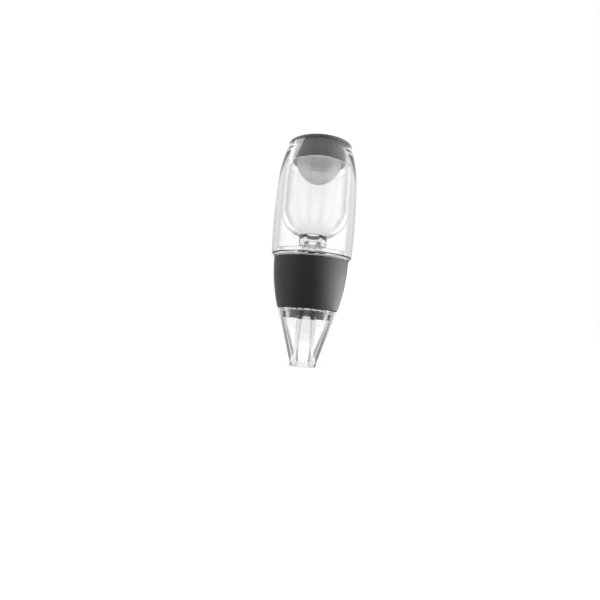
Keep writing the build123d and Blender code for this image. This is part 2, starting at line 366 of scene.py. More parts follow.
def wireSteel():
    # drawn stainless wire: streaky gloss and a trace of tarnish
    look = steel
    material, graph = startFinish("wireSteel")
    streaks = speckle(graph, look["streakScale"], 3.0, 0.6)
    tarnish = speckle(graph, look["tarnishScale"], 3.0, 0.6).ease(*look["tarnishEdge"])
    coat(
        graph,
        {
            "Base Color": graph.blend(0.5 * streaks + 0.5 * tarnish, look["light"], look["dark"]),
            "Metallic": 1.0,
            "Roughness": look["satin"] + 0.16 * streaks + 0.08 * tarnish,
            "Normal": relief(graph, streaks, look["streakDepth"], look["streakHeight"]),
        },
    )
    return material


finishes = {name: clearPlastic(name) for name in clearPlastics}
finishes.update({name: mouldedPlastic(name) for name in darkPlastics})
finishes["bandSilicone"] = bandSilicone()
finishes["sealRubber"] = sealRubber()
finishes["wireSteel"] = wireSteel()
print("finishes made", len(finishes))


# Sections are lists of (radius, height, rounding) in millimetres, and each node's box gives its ends
seat = 0.03  # air left between two faces that lie on each other
rounds = {"crisp": 0.1, "fine": 0.2, "soft": 0.35, "full": 0.5}


def extent(node):
    low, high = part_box(node)
    return {"foot": low[2] / mm, "top": high[2] / mm, "radius": high[0] / mm}


def arcPoints(centre, start, turn, steps):
    # the points between an arc's two ends
    points = []
    for step in range(1, steps):
        arm = Matrix.Rotation(turn * step / steps, 2) @ (start - centre)
        points.append((centre.x + arm.x, centre.y + arm.y, 0))
    return points


def bend(start, end, tangent, steps):
    # points between the two ends of an arc that leaves start along tangent, and the direction it ends in
    start, end, tangent = Vector(start), Vector(end), Vector(tangent).normalized()
    across = Vector((-tangent.y, tangent.x))
    reach = end - start
    size = reach.length_squared / (2 * reach.dot(across))
    centre = start + across * size
    chord = reach.normalized()
    turn = 2 * math.copysign(tangent.angle(chord), tangent.x * chord.y - tangent.y * chord.x)
    return arcPoints(centre, start, turn, steps), tuple(2 * chord.dot(tangent) * chord - tangent)


def bulgeCircle(start, end, rise):
    # centre and radius of the arc that bulges by rise to the right of its travel
    start, end = Vector(start), Vector(end)
    reach = end - start
    size = (reach.length_squared / 4 + rise * rise) / (2 * rise)
    right = Vector((reach.y, -reach.x)).normalized()
    return (start + end) / 2 + right * (rise - size), size


def bulge(start, end, rise, steps):
    # the points between the two ends of that arc
    centre, size = bulgeCircle(start, end, rise)
    start, end = Vector(start), Vector(end)
    return arcPoints(centre, start, 2 * math.asin((end - start).length / 2 / size), steps)


cornerCut = {"steps": 5, "reach": 0.42, "hold": 0.1, "holdShare": 0.05}


def roundCorners(corners):
    # a closed section with each corner rounded, and a point beside each rounding that keeps flats flat
    steps = cornerCut["steps"]
    points = []
    for index, (radius, height, rounding) in enumerate(corners):
        here = Vector((radius, height))
        if not rounding:
            points.append(here)
            continue
        back = Vector(corners[index - 1][:2]) - here
        ahead = Vector(corners[(index + 1) % len(corners)][:2]) - here
        room = min(back.length, ahead.length)
        half = back.angle(ahead) / 2
        cut = min(rounding / math.tan(half), cornerCut["reach"] * room)
        size = cut * math.tan(half)
        back.normalize()
        ahead.normalize()
        centre = here + (back + ahead).normalized() * size / math.sin(half)
        first, last = here + back * cut - centre, here + ahead * cut - centre
        turn = math.copysign(math.pi - 2 * half, first.x * last.y - first.y * last.x)
        hold = min(cornerCut["hold"], cornerCut["holdShare"] * room)
        points.append(here + back * (cut + hold))
        for step in range(steps + 1):
            points.append(centre + Matrix.Rotation(turn * step / steps, 2) @ first)
        points.append(here + ahead * (cut + hold))
    return points


barrel = {
    **extent("barrel_shell"),
    "footRadius": 26.8,
    "bellyRise": 20.6,
    "shoulderDrop": 26.0,
    "shoulderRadius": 26.7,
    "topRadius": 21.7,
    "wall": 2.3,
    "mouthRadius": 18.8,
    "mouthLand": 2.5,
    "footRound": 0.45,
    "lowerSteps": 12,
    "middleSteps": 14,
    "upperSteps": 18,
}


def barrelSection():
    size = barrel
    foot, top = size["foot"] + seat, size["top"] - seat
    sides = []
    for wall, end in (
        (0, (size["topRadius"], top)),
        (size["wall"], (size["mouthRadius"], size["top"] - size["mouthLand"])),
    ):
        belly = (size["radius"] - wall, size["foot"] + size["bellyRise"])
        shoulder = (size["shoulderRadius"] - wall, size["top"] - size["shoulderDrop"])
        lower, _ = bend(belly, (size["footRadius"] - wall, foot), (0, -1), size["lowerSteps"])
        middle, heading = bend(belly, shoulder, (0, 1), size["middleSteps"])
        upper, _ = bend(shoulder, end, heading, size["upperSteps"])
        sides.append([*lower[::-1], (*belly, 0), *middle, (*shoulder, 0), *upper])
    return [
        (size["footRadius"], foot, size["footRound"]),
        *sides[0],
        (size["topRadius"], top, rounds["soft"]),
        (size["mouthRadius"], top, rounds["soft"]),
        (size["mouthRadius"], size["top"] - size["mouthLand"], 0),
        *sides[1][::-1],
        (size["footRadius"] - size["wall"], foot, rounds["fine"]),
    ]


funnel = {
    **extent("inner_funnel"),
    "neckRadius": 9.0,
    "neckTopRadius": 9.6,
    "neckLength": 7.3,
    "bowlRise": 16.0,
    "bowlSagitta": 4.0,
    "wall": 1.6,
    "spigotBore": 5.65,
    "spigotDepth": 3.0,
    "neckBore": 4.6,
    "bowlSteps": 16,
}


def funnelSection():
    size = funnel
    bore = size["radius"] - size["wall"]
    neckTop = size["foot"] + size["neckLength"]
    bowlTop = neckTop + size["bowlRise"]
    bowlFoot = neckTop + size["wall"]
    step = size["foot"] + size["spigotDepth"] + seat
    sagitta, steps = size["bowlSagitta"], size["bowlSteps"]
    outside = bulge((size["neckTopRadius"], neckTop), (size["radius"], bowlTop), sagitta, steps)
    inside = bulge((size["neckBore"], bowlFoot), (bore, bowlTop), sagitta, steps)
    return [
        (size["neckRadius"], size["foot"] + seat, rounds["soft"]),
        (size["neckTopRadius"], neckTop, rounds["full"]),
        *outside,
        (size["radius"], bowlTop, 0),
        (size["radius"], size["top"], rounds["full"]),
        (bore, size["top"], rounds["full"]),
        (bore, bowlTop, 0),
        *inside[::-1],
        (size["neckBore"], bowlFoot, rounds["full"]),
        (size["neckBore"], step, rounds["crisp"]),
        (size["spigotBore"], step, rounds["crisp"]),
        (size["spigotBore"], size["foot"] + seat, rounds["fine"]),
    ]


base = {
    **extent("base_plate"),
    "flange": 2.0,
    "registerRadius": 24.45,
    "registerWall": 2.3,
    "registerRise": 3.0,
    "nozzleRadius": 6.8,
    "nozzleBore": 3.2,
    "nozzleReach": 14.6,
    "nozzleRise": 6.3,
    "spigotRadius": 5.6,
    "spigotBore": 4.6,
    "grooveRise": 5.0,
    "grooveHeight": 1.8,
    "grooveRadius": 5.45,
}


def baseSection():
    size = base
    deck = size["foot"] + size["nozzleReach"] + seat
    plate = size["foot"] + size["nozzleReach"] + size["flange"]
    neck = plate + size["nozzleRise"]
    groove = size["foot"] + size["grooveRise"]
    inner = size["registerRadius"] - size["registerWall"]
    return [
        (size["nozzleBore"], size["foot"], rounds["fine"]),
        (size["nozzleRadius"], size["foot"], rounds["full"]),
        (size["nozzleRadius"], groove, rounds["crisp"]),
        (size["grooveRadius"], groove, rounds["crisp"]),
        (size["grooveRadius"], groove + size["grooveHeight"], rounds["crisp"]),
        (size["nozzleRadius"], groove + size["grooveHeight"], rounds["crisp"]),
        (size["nozzleRadius"], deck, rounds["fine"]),
        (size["radius"], deck, rounds["soft"]),
        (size["radius"], plate, rounds["soft"]),
        (size["registerRadius"], plate, rounds["crisp"]),
        (size["registerRadius"], plate + size["registerRise"], rounds["soft"]),
        (inner, plate + size["registerRise"], rounds["soft"]),
        (inner, plate, rounds["soft"]),
        (size["nozzleRadius"], plate, rounds["full"]),
        (size["nozzleRadius"], neck, rounds["fine"]),
        (size["spigotRadius"], neck, rounds["crisp"]),
        (size["spigotRadius"], size["top"], rounds["fine"]),
        (size["spigotBore"], size["top"], rounds["fine"]),
        (size["nozzleBore"], neck, rounds["soft"]),
    ]


cone = {**extent("lower_cone"), "tipRadius": 8.4, "glueRadius": 7.0, "wall": 2.2, "socketHeight": 2.643}


def coneSection():
    size = cone
    top = size["top"] - seat
    return [
        (size["glueRadius"], size["foot"], rounds["fine"]),
        (size["tipRadius"], size["foot"], rounds["soft"]),
        (size["radius"], top, rounds["soft"]),
        (size["radius"] - size["wall"], top, rounds["fine"]),
        (size["glueRadius"], size["socketHeight"], rounds["fine"]),
    ]


socket = {**extent("socket_ring"), "bore": 12.2, "taper": 1.907}


def socketSection():
    size = socket
    top = size["top"] - seat
    return [
        (size["bore"], top, rounds["soft"]),
        (size["radius"], top, rounds["fine"]),
        (size["radius"] - size["taper"], size["foot"], rounds["fine"]),
        (size["bore"], size["foot"], rounds["soft"]),
    ]


tube = {
    **extent("diffuser_tube"),
    "outletRadius": 5.6,
    "outletLand": 4.0,
    "glueLength": 3.0,
    "topRadius": 6.2,
    "topBore": 4.0,
    "topLand": 8.0,
    "grooveRadius": 5.55,
    "grooveTop": 45.8,
    "grooveFoot": 44.6,
    "flow": 2.0,
    "steps": 128,
}


def tubeSection():
    size = tube
    neck = size["top"] - size["topLand"]
    return [
        (size["outletRadius"], size["foot"], rounds["soft"]),
        (size["radius"], size["foot"], rounds["soft"]),
        (size["radius"], size["glueLength"], rounds["soft"]),
        (size["topRadius"], neck, size["flow"]),
        (size["topRadius"], size["grooveFoot"], rounds["crisp"]),
        (size["grooveRadius"], size["grooveFoot"], rounds["crisp"]),
        (size["grooveRadius"], size["grooveTop"], rounds["crisp"]),
        (size["topRadius"], size["grooveTop"], rounds["crisp"]),
        (size["topRadius"], size["top"], rounds["soft"]),
        (size["topBore"], size["top"], rounds["soft"]),
        (size["topBore"], neck, size["flow"]),
        (size["outletRadius"], size["outletLand"], size["flow"]),
    ]


band = {
    **extent("grip_band"),
    "footRadius": 20.2,
    "wall": 1.5,
    "edge": 0.4,
    "sideSteps": 18,
    "airHole": 2.4,
}


def bandSection():
    size = band
    sides = []
    for wall in (0, size["wall"]):
        start, end = (size["radius"] - wall, size["top"]), (size["footRadius"] - wall, size["foot"])
        side, _ = bend(start, end, (0, -1), size["sideSteps"])
        sides.append(side)
    return [
        (size["footRadius"], size["foot"] + seat, size["edge"]),
        *sides[0][::-1],
        (size["radius"], size["top"], size["edge"]),
        (size["radius"] - size["wall"], size["top"], rounds["fine"]),
        *sides[1],
        (size["footRadius"] - size["wall"], size["foot"] + seat, rounds["fine"]),
    ]


mixer = {
    **extent("mixer_body"),
    "proud": 0.3,
    "footRadius": 18.5,
    "wall": 2.0,
    "deck": 2.0,
    "bossRadius": 10.4,
    "bossFoot": 43.4,
    "bossBore": 7.0,
    "insertBore": 8.05,
    "insertTop": 56.4,
    "sideSteps": 16,
    "airHole": 2.25,
    "steps": 160,
}


def mixerSection():
    size = mixer
    bandTop = size["top"] - size["proud"]
    deckFoot = size["top"] - size["deck"]
    bore = size["radius"] - size["wall"]
    innerFoot = size["footRadius"] - size["wall"]
    steps = size["sideSteps"]
    outside, _ = bend((size["radius"], bandTop), (size["footRadius"], size["foot"]), (0, -1), steps)
    inside, _ = bend((bore, deckFoot), (innerFoot, size["foot"]), (0, -1), steps)
    return [
        (size["bossBore"], size["top"], rounds["soft"]),
        (size["radius"], size["top"], rounds["fine"]),
        (size["radius"], bandTop, 0),
        *outside,
        (size["footRadius"], size["foot"] + seat, rounds["fine"]),
        (innerFoot, size["foot"] + seat, rounds["fine"]),
        *inside[::-1],
        (bore, deckFoot, rounds["full"]),
        (size["bossRadius"], deckFoot, rounds["full"]),
        (size["bossRadius"], size["bossFoot"], rounds["soft"]),
        (size["insertBore"], size["bossFoot"], rounds["fine"]),
        (size["insertBore"], size["insertTop"], rounds["crisp"]),
        (size["bossBore"], size["insertTop"], rounds["fine"]),
    ]


collar = {
    **extent("collar_plate"),
    "bore": 10.1,
    "wall": 1.8,
    "floor": 2.0,
    "window": 10.8,
    "windowLand": 0.4,
    "steps": 160,
}


def collarSection():
    size = collar
    outside = size["bore"] + size["wall"]
    floorFoot = size["top"] - size["floor"] + seat
    return [
        (size["bore"], size["foot"], rounds["soft"]),
        (outside, size["foot"], rounds["soft"]),
        (outside, floorFoot, rounds["crisp"]),
        (size["radius"], floorFoot, rounds["fine"]),
        (size["radius"], size["top"], rounds["fine"]),
        (size["bore"], size["top"], rounds["soft"]),
    ]


insert = {
    **extent("throat_insert"),
    "inletRadius": 4.2,
    "throatRadius": 2.4,
    "inletCone": 5.0,
    "throatLand": 3.0,
    "socketDepth": 4.0,
    "socketRadius": 6.5,
    "outletRadius": 4.0,
    "grooveDepth": 1.0,
    "port": 0.8,
    "steps": 96,
}


def insertSection():
    size = insert
    throatTop = size["top"] - size["inletCone"]
    throatFoot = throatTop - size["throatLand"]
    socketTop = size["foot"] + size["socketDepth"]
    groove = size["radius"] - size["grooveDepth"]
    return [
        (size["inletRadius"], size["top"], rounds["soft"]),
        (size["throatRadius"], throatTop, rounds["full"]),
        (size["throatRadius"], throatFoot, rounds["full"]),
        (size["outletRadius"], socketTop, rounds["crisp"]),
        (size["socketRadius"], socketTop, rounds["crisp"]),
        (size["socketRadius"], size["foot"], rounds["soft"]),
        (size["radius"], size["foot"], rounds["soft"]),
        (size["radius"], throatFoot, rounds["crisp"]),
        (groove, throatFoot, rounds["crisp"]),
        (groove, throatTop, rounds["crisp"]),
        (size["radius"], throatTop, rounds["crisp"]),
        (size["radius"], size["top"], rounds["fine"]),
    ]


rim = {
    **extent("rim_ring"),
    "lip": 2.4,
    "lipRound": 1.2,
    "mouthRound": 1.0,
    "skirtRadius": 18.5,
    "wall": 1.5,
    "ledge": 1.5,
    "ledgeHole": 15.6,
    "pocketRadius": 17.3,
    "pocketHeight": 2.4,
}


def rimSection():
    size = rim
    mouth = size["skirtRadius"] - size["wall"]
    lipFoot = size["top"] - size["lip"]
    ledgeTop = size["foot"] + size["ledge"]
    return [
        (mouth, size["top"], size["mouthRound"]),
        (size["radius"], size["top"], size["lipRound"]),
        (size["radius"], lipFoot, rounds["soft"]),
        (size["skirtRadius"], lipFoot, rounds["crisp"]),
        (size["skirtRadius"], size["foot"], rounds["soft"]),
        (size["ledgeHole"], size["foot"], rounds["soft"]),
        (size["ledgeHole"], ledgeTop, rounds["fine"]),
        (size["pocketRadius"], ledgeTop, rounds["crisp"]),
        (size["pocketRadius"], ledgeTop + size["pocketHeight"], rounds["crisp"]),
        (mouth, ledgeTop + size["pocketHeight"], rounds["crisp"]),
    ]


retainer = {**extent("mesh_retainer"), "wall": 1.5}


def retainerSection():
    size = retainer
    inner = size["radius"] - size["wall"]
    return [
        (inner, size["foot"], rounds["fine"]),
        (size["radius"], size["foot"], rounds["fine"]),
        (size["radius"], size["top"], rounds["soft"]),
        (inner, size["top"], rounds["full"]),
    ]


strainer = {
    **extent("strainer_mesh"),
    "cloth": 0.5,
    "bowlRadius": 15.4,
    "sagitta": 3.8,
    "pitch": 0.64,
    "wire": 0.105,
    "wireSides": 4,
    "poleSoftness": 1.5,
    "lines": 40,
    "hemSteps": 128,
}


def hemSection():
    size = strainer
    inner = size["bowlRadius"] - size["cloth"]
    low, high = size["top"] - size["cloth"] + seat, size["top"] - seat
    return [
        (inner, low, rounds["crisp"]),
        (size["radius"], low, rounds["crisp"]),
        (size["radius"], high, rounds["crisp"]),
        (inner, high, rounds["crisp"]),
    ]


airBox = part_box("air_tube_right")
airTube = {
    "outside": 2.2,
    "bore": 1.3,
    "start": airBox[0][0] / mm,
    "end": airBox[1][0] / mm,
    "height": (airBox[0][2] + airBox[1][2]) / 2 / mm,
    "steps": 64,
}


def airTubeSection():
    # along the tube, from the boss to the outer wall
    size = airTube
    return [
        (size["bore"], size["start"], rounds["crisp"]),
        (size["outside"], size["start"], rounds["fine"]),
        (size["outside"], size["end"], rounds["fine"]),
        (size["bore"], size["end"], rounds["soft"]),
    ]


seals = {
    "nozzleSeal": {"node": "nozzle_seal", "thickness": 1.5, "corners": 28, "steps": 96},
    "tubeSeal": {"node": "tube_seal", "thickness": 0.9, "corners": 20, "steps": 96},
}


def sealSection(seal):
    # an O-ring's round section, from its node's box
    size = extent(seal["node"])
    half = seal["thickness"] / 2
    middle, height = size["radius"] - half, (size["foot"] + size["top"]) / 2
    points = []
    for step in range(seal["corners"]):
        turn = 2 * math.pi * step / seal["corners"]
        points.append((middle + half * math.cos(turn), height + half * math.sin(turn), 0))
    return points


def openTree(name, inputs):
    tree = bpy.data.node_groups.new(name, "GeometryNodeTree")
    tree.interface.new_socket("Geometry", in_out="INPUT", socket_type="NodeSocketGeometry")
    tree.interface.new_socket("Geometry", in_out="OUTPUT", socket_type="NodeSocketGeometry")
    for label, (kind, value) in inputs.items():
        socket = tree.interface.new_socket(label, in_out="INPUT", socket_type=kind)
        if value is not None:
            socket.default_value = value
    graph = Graph(tree)
    entry = tree.nodes.new("NodeGroupInput")
    flows = {socket.name: Flow(graph, socket) for socket in entry.outputs if socket.name}
    return tree, graph, flows


def closeTree(graph, geometry, material):
    real = graph.add("GeometryNodeRealizeInstances", None, {"Geometry": geometry})
    smooth = graph.add("GeometryNodeSetShadeSmooth", None, {0: real})
    painted = graph.add("GeometryNodeSetMaterial", None, {"Geometry": smooth, "Material": material})
    graph.add("NodeGroupOutput", None, {0: painted})


def sweepTree():
    tree, graph, given = openTree(
        "sweepSection",
        {
            "Rail Radius": ("NodeSocketFloat", 0.001),
            "Steps": ("NodeSocketInt", 192),
            "Material": ("NodeSocketMaterial", None),
        },
    )
    rail = graph.add(
        "GeometryNodeCurvePrimitiveCircle", {"mode": "RADIUS"},
        {"Resolution": given["Steps"], "Radius": given["Rail Radius"]},
    )
    section = graph.add("GeometryNodeMeshToCurve", None, {0: given["Geometry"]})
    swept = graph.add("GeometryNodeCurveToMesh", None, {"Curve": rail, "Profile Curve": section})
    closeTree(graph, swept, given["Material"])
    return tree


sweep = {"tree": sweepTree(), "rail": 1.0, "steps": 192}


def setInputs(modifier, values):
    for socket in modifier.node_group.interface.items_tree:
        if socket.in_out == "INPUT" and socket.name in values:
            modifier[socket.identifier] = values[socket.name]


def settle(holder, name):
    # the evaluated result as a plain mesh on a fresh object
    bpy.context.view_layer.update()
    graph = bpy.context.evaluated_depsgraph_get()
    mesh = bpy.data.meshes.new_from_object(holder.evaluated_get(graph))
    bpy.data.objects.remove(holder)
    mesh.name = name
    piece = bpy.data.objects.new(name, mesh)
    bpy.context.scene.collection.objects.link(piece)
    return piece


mending = {"weld": 1e-7, "crease": 35}


def faceOutwards(piece):
    shape = bmesh.new()
    shape.from_mesh(piece.data)
    bmesh.ops.remove_doubles(shape, verts=shape.verts, dist=mending["weld"])
    bmesh.ops.recalc_face_normals(shape, faces=shape.faces)
    shape.to_mesh(piece.data)
    shape.free()


def turned(name, section, finish, steps=None):
    points = roundCorners(section)
    rail = sweep["rail"]
    mesh = bpy.data.meshes.new(name)
    mesh.from_pydata(
        [((point[0] - rail) * mm, -point[1] * mm, 0) for point in points],
        [(index, (index + 1) % len(points)) for index in range(len(points))],
        [],
    )
    holder = bpy.data.objects.new(name, mesh)
    bpy.context.scene.collection.objects.link(holder)
    modifier = holder.modifiers.new("sweep", "NODES")
    modifier.node_group = sweep["tree"]
    setInputs(
        modifier,
        {"Rail Radius": rail * mm, "Steps": steps or sweep["steps"], "Material": finishes[finish]},
    )
    piece = settle(holder, name)
    faceOutwards(piece)
    print("turned", name, len(piece.data.polygons))
    return piece


def cutAway(piece, cutter):
    modifier = piece.modifiers.new("cut", "BOOLEAN")
    modifier.operation = "DIFFERENCE"
    modifier.solver = "EXACT"
    modifier.object = cutter
    name, finish = piece.name, piece.data.materials[0]
    piece.name = name + "Blank"
    cut = settle(piece, name)
    bpy.data.objects.remove(cutter)
    cut.data.materials.clear()
    cut.data.materials.append(finish)
    for polygon in cut.data.polygons:
        polygon.use_smooth = True
        polygon.material_index = 0
    faceOutwards(cut)
    cut.data.set_sharp_from_angle(angle=math.radians(mending["crease"]))
    return cut


def cutterFrom(name, shape):
    mesh = bpy.data.meshes.new(name)
    shape.to_mesh(mesh)
    shape.free()
    cutter = bpy.data.objects.new(name, mesh)
    bpy.context.scene.collection.objects.link(cutter)
    return cutter


def roundCutter(name, radius):
    # a bar along X, on the air tubes' axis, that crosses the whole object
    shape = bmesh.new()
    bmesh.ops.create_cone(
        shape,
        cap_ends=True,
        segments=airTube["steps"],
        radius1=radius * mm,
        radius2=radius * mm,
        depth=4 * barrel["radius"] * mm,
        matrix=Matrix.Translation((0, 0, airTube["height"] * mm)) @ Matrix.Rotation(math.pi / 2, 4, "Y"),
    )
    return cutterFrom(name, shape)


def windowCutter():
    # a bar along Y that opens the collar's front and back
    size = collar
    height = size["top"] - size["floor"] - size["windowLand"] - size["foot"]
    reach = Vector((size["window"], 4 * size["radius"], 2 * height)) * mm
    place = Matrix.Translation((0, 0, size["foot"] * mm)) @ Matrix.Diagonal((*reach, 1))
    shape = bmesh.new()
    bmesh.ops.create_cube(shape, size=1, matrix=place)
    return cutterFrom("collarWindow", shape)


def dress(piece, node):
    # the piece stands for its node, on the same body
    record = frame["record"]
    body = next(name for name, nodes in record["behaviour"]["bodies"].items() if node in nodes)
    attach(piece, body)
    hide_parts(node)


dress(turned("barrelShell", barrelSection(), "clearBarrel"), "barrel_shell")
dress(turned("innerFunnel", funnelSection(), "clearFunnel"), "inner_funnel")
dress(turned("basePlate", baseSection(), "clearBase"), "base_plate")
dress(turned("lowerCone", coneSection(), "clearCone"), "lower_cone")
dress(turned("socketRing", socketSection(), "clearRing"), "socket_ring")
dress(turned("diffuserTube", tubeSection(), "clearTube", tube["steps"]), "diffuser_tube")
print("clear pieces done")

dress(turned("rimRing", rimSection(), "rimPlastic"), "rim_ring")
dress(turned("meshRetainer", retainerSection(), "rimPlastic"), "mesh_retainer")

bandBlank = turned("gripBand", bandSection(), "bandSilicone")
dress(cutAway(bandBlank, roundCutter("bandHole", band["airHole"])), "grip_band")

mixerBlank = turned("mixerBody", mixerSection(), "mixerPlastic", mixer["steps"])
dress(cutAway(mixerBlank, roundCutter("mixerHole", mixer["airHole"])), "mixer_body")

collarBlank = turned("collarPlate", collarSection(), "mixerPlastic", collar["steps"])
dress(cutAway(collarBlank, windowCutter()), "collar_plate")

insertBlank = turned("throatInsert", insertSection(), "insertPlastic", insert["steps"])
dress(cutAway(insertBlank, roundCutter("insertPort", insert["port"])), "throat_insert")

for side, name, node in ((-1, "airTubeLeft", "air_tube_left"), (1, "airTubeRight", "air_tube_right")):
    pipe = turned(name, airTubeSection(), "insertPlastic", airTube["steps"])
    raised = Matrix.Translation((0, 0, airTube["height"] * mm))
    pipe.data.transform(raised @ Matrix.Rotation(side * math.pi / 2, 4, "Y"))
    dress(pipe, node)

for name, seal in seals.items():
    dress(turned(name, sealSection(seal), "sealRubber", seal["steps"]), seal["node"])
print("dark pieces done")


def weaveTree():
    # two families of wires over and under each other, laid flat and then wrapped onto the bowl
    tree, graph, given = openTree(
        "weaveBowl",
        {
            "Pitch": ("NodeSocketFloat", 0.0006),
            "Wire Radius": ("NodeSocketFloat", 0.0001),
            "Wire Sides": ("NodeSocketInt", 4),
            "Arc Radius": ("NodeSocketFloat", 0.017),
            "Centre Radius": ("NodeSocketFloat", -0.002),
            "Centre Height": ("NodeSocketFloat", 0.139),
            "Pole Angle": ("NodeSocketFloat", 0.12),
            "Arc Length": ("NodeSocketFloat", 0.023),
            "Collar": ("NodeSocketFloat", 0.002),
            "Pole Softness": ("NodeSocketFloat", 0.0015),
            "Lines": ("NodeSocketInt", 41),
            "Material": ("NodeSocketMaterial", None),
        },
    )
    pitch, wire, arc = given["Pitch"], given["Wire Radius"], given["Arc Radius"]
    count = 2 * given["Lines"] + 1
    edge = given["Arc Length"] + given["Collar"]
    families = []
    for family, (along, across) in enumerate((((1, 0), (0, 1)), ((0, 1), (1, 0)))):
        reach = -(given["Lines"] * pitch)
        lines = []
        for direction in (along, across):
            x, y = direction
            start = graph.add("ShaderNodeCombineXYZ", None, {0: reach * x, 1: reach * y})
            step = graph.add("ShaderNodeCombineXYZ", None, {0: pitch * x, 1: pitch * y})
            lines.append(
                graph.add(
                    "GeometryNodeMeshLine", {"mode": "OFFSET", "count_mode": "TOTAL"},
                    {"Count": count, "Start Location": start, "Offset": step},
                )
            )
        rows = graph.add("GeometryNodeInstanceOnPoints", None, {"Points": lines[1], "Instance": lines[0]})
        flat = graph.add("GeometryNodeRealizeInstances", None, {"Geometry": rows})
        place = graph.add("GeometryNodeInputPosition")
        u = graph.add("ShaderNodeSeparateXYZ", None, {0: place}, 0)
        v = graph.add("ShaderNodeSeparateXYZ", None, {0: place}, 1)
        distance = (u * u + v * v) ** 0.5
        outside = graph.add(
            "FunctionNodeCompare", {"data_type": "FLOAT", "operation": "GREATER_THAN"},
            {0: distance, 1: edge + pitch},
        )
        kept = graph.add(
            "GeometryNodeDeleteGeometry", {"domain": "POINT", "mode": "ALL"},
            {"Geometry": flat, "Selection": outside},
        )
        column = u.maths("ROUND", u / pitch)
        row = v.maths("ROUND", v / pitch)
        odd = u.maths("FLOORED_MODULO", column + row + float(family), 2.0)
        lift = (2 * odd - 1) * wire
        held = distance.least(edge)
        angle = given["Pole Angle"] + held.least(given["Arc Length"]) / arc
        rise = (held - given["Arc Length"]).most(0.0)
        sine = angle.maths("SINE", angle)
        cosine = angle.maths("COSINE", angle)
        radius = (given["Centre Radius"] + arc * sine).most(0.0)
        soft = given["Pole Softness"]
        slope = u.maths("TANGENT", given["Pole Angle"])
        ease = slope * ((radius * radius + soft * soft) ** 0.5 - radius)
        height = given["Centre Height"] - arc * cosine + rise + ease - lift * cosine
        spread = (radius + lift * sine) / distance.most(1e-7)
        bowl = graph.add("ShaderNodeCombineXYZ", None, {0: u * spread, 1: v * spread, 2: height})
        families.append(graph.add("GeometryNodeSetPosition", None, {"Geometry": kept, "Position": bowl}))
    joined = graph.add("GeometryNodeJoinGeometry", None, {"Geometry": families})
    wires = graph.add("GeometryNodeMeshToCurve", None, {0: joined})
    ring = graph.add(
        "GeometryNodeCurvePrimitiveCircle", {"mode": "RADIUS"},
        {"Resolution": given["Wire Sides"], "Radius": wire},
    )
    tubes = graph.add(
        "GeometryNodeCurveToMesh", None, {"Curve": wires, "Profile Curve": ring, "Fill Caps": True}
    )
    closeTree(graph, tubes, given["Material"])
    return tree


def wovenBowl():
    size = strainer
    half = size["cloth"] / 2
    ledge = rim["foot"]
    pole = Vector((0, size["foot"] + half))
    edge = Vector((size["bowlRadius"] - half, ledge))
    centre, arc = bulgeCircle(pole, edge, size["sagitta"])
    poleAngle = math.atan2(pole.x - centre.x, centre.y - pole.y)
    edgeAngle = math.atan2(edge.x - centre.x, centre.y - edge.y)
    mesh = bpy.data.meshes.new("strainerMesh")
    mesh.from_pydata([(0, 0, 0)], [], [])
    holder = bpy.data.objects.new("strainerMesh", mesh)
    bpy.context.scene.collection.objects.link(holder)
    modifier = holder.modifiers.new("weave", "NODES")
    modifier.node_group = weaveTree()
    setInputs(
        modifier,
        {
            "Pitch": size["pitch"] * mm,
            "Wire Radius": size["wire"] * mm,
            "Wire Sides": size["wireSides"],
            "Arc Radius": arc * mm,
            "Centre Radius": centre.x * mm,
            "Centre Height": centre.y * mm,
            "Pole Angle": poleAngle,
            "Arc Length": arc * (edgeAngle - poleAngle) * mm,
            "Collar": (size["top"] - size["cloth"] - ledge + seat + seat) * mm,
            "Pole Softness": size["poleSoftness"] * mm,
            "Lines": size["lines"],
            "Material": finishes["wireSteel"],
        },
    )
    wires = settle(holder, "strainerMesh")
    hem = turned("strainerHem", hemSection(), "wireSteel", size["hemSteps"])
    shape = bmesh.new()
    shape.from_mesh(wires.data)
    shape.from_mesh(hem.data)
    bmesh.ops.recalc_face_normals(shape, faces=shape.faces)
    shape.to_mesh(wires.data)
    shape.free()
    bpy.data.objects.remove(hem)
    print("wove strainerMesh", len(wires.data.polygons))
    return wires


dress(wovenBowl(), "strainer_mesh")

# Floor, background and lamps. Camera rays see plain white, and reflections and refractions see soft boxes
# and painted grey-card shade, so that clear walls get edges; the floor also carries painted soft-box glow
# and painted shade that only reflections and refractions see
room = {
    "floorHeight": -0.1,
    "floorHalf": 6.0,
    "floorTone": 0.60,
    "paperTone": 0.8,
    "paintedCardTone": 0.02,
    "floorGlowNear": 0.42,
    "floorGlowFar": 0.68,
    "glowSpread": (0.3, 2.0),
    "ambient": 0.62,
    "reflectedLow": 0.6,
    "reflectedHigh": 1.0,
    "reflectedSpread": (0.0, 0.45),
}
# painted shade: grey sectors that only refracted rays see, standing in for dark cards round the object
paintedGreyCards = {
    "count": 8.0,
    "edge": (0.40, 0.95),
    "farDepth": 0.38,
    "nearDepth": 0.78,
    "farEdge": 0.24,
    "nearEdge": 0.84,
    "nearEnd": (0.12, 0.5),
    "start": (0.012, 0.03),
    "oneWall": 2.5,
}
darkFront = {"aim": (0.0, -0.97, -0.24), "spread": (0.35, 0.95), "depth": 0.78}
rightBox = {"aim": (0.92, -0.30, 0.25), "spread": (0.6, 0.98), "strength": 2.0, "polished": 0.55}
leftBox = {"aim": (-0.67, 0.15, 0.73), "spread": (0.945, 0.962), "strength": 4.5}
nearBox = {
    "aim": (0.98, 0.17, 0.0),
    "spread": (0.35, 1.1),
    "strength": 5.5,
    "start": (0.08, 0.26),
    "end": (0.25, 0.6),
}
lowBox = {
    "aim": (0.98, 0.17, 0.0),
    "spread": (0.55, 1.1),
    "strength": 5.5,
    "polished": 0.08,
    "top": (0.03, 0.15),
}


def rayKind(graph, kind):
    return graph.add("ShaderNodeLightPath", None, None, kind)


